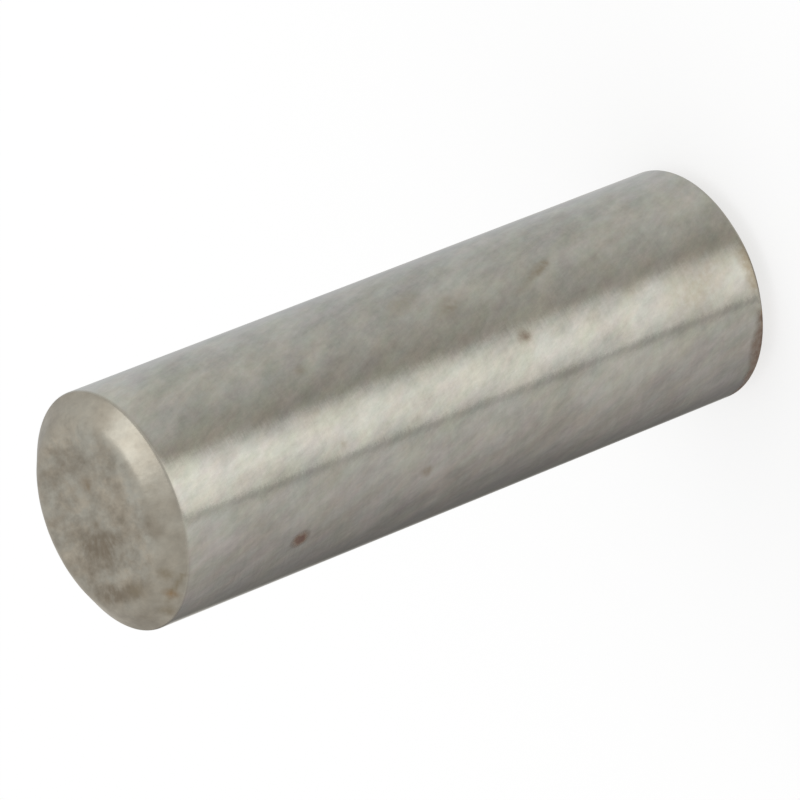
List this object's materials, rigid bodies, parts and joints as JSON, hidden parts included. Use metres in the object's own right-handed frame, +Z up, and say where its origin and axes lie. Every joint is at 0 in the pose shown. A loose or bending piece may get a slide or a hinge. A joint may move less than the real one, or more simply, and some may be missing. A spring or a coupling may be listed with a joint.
{
  "type": "dowel pin",
  "caption": "Solid parallel dowel pin of ground steel with a softened chamfer at each end, pressed into reamed holes to line two parts up.",
  "frame": {"origin": "centre of the lower end face, on which the pin stands", "axes": "+Z up along the pin's axis; -Y faces the side that the picture shows, and the upper end is the picture's near end"},
  "size_m": [0.008, 0.008, 0.025],
  "materials": {
    "ground_steel": "satin ground steel with faint mottling, a dull stained end face and a few rust specks"
  },
  "bodies": {
    "root": {"dowel_pin": "ground_steel"}
  },
  "joints": []
}
